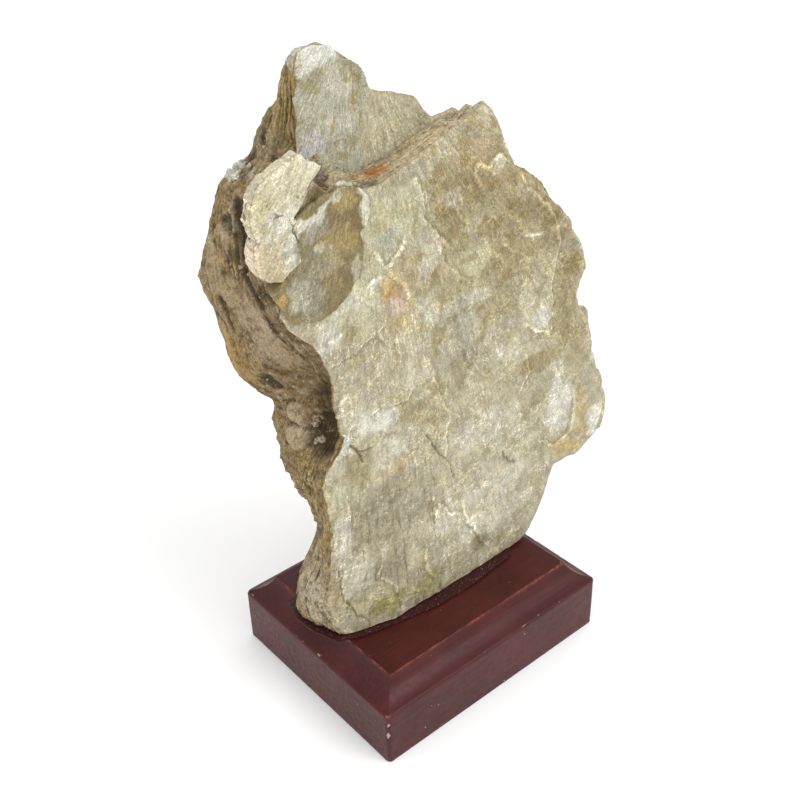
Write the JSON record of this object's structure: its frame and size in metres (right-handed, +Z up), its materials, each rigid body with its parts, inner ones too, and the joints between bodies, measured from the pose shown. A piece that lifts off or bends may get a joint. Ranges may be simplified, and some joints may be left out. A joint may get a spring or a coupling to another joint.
{
  "type": "mica crystal",
  "caption": "Upright muscovite mica crystal, a book of pearly cleavage sheets with torn edges, glued on a low lacquered wooden display stand.",
  "frame": {"origin": "centre of the wooden stand's flat underside", "axes": "+Z up from the underside; +X along the stand's long side and the crystal's broad cleavage face, which looks towards -Y"},
  "size_m": [0.15, 0.0816, 0.2254],
  "materials": {
    "lacquered_wood": "satin",
    "muscovite": "satin",
    "dark_glue": "gloss"
  },
  "bodies": {
    "root": {"wooden_base": "lacquered_wood", "mica_crystal": "muscovite", "adhesive": "dark_glue"}
  },
  "joints": []
}
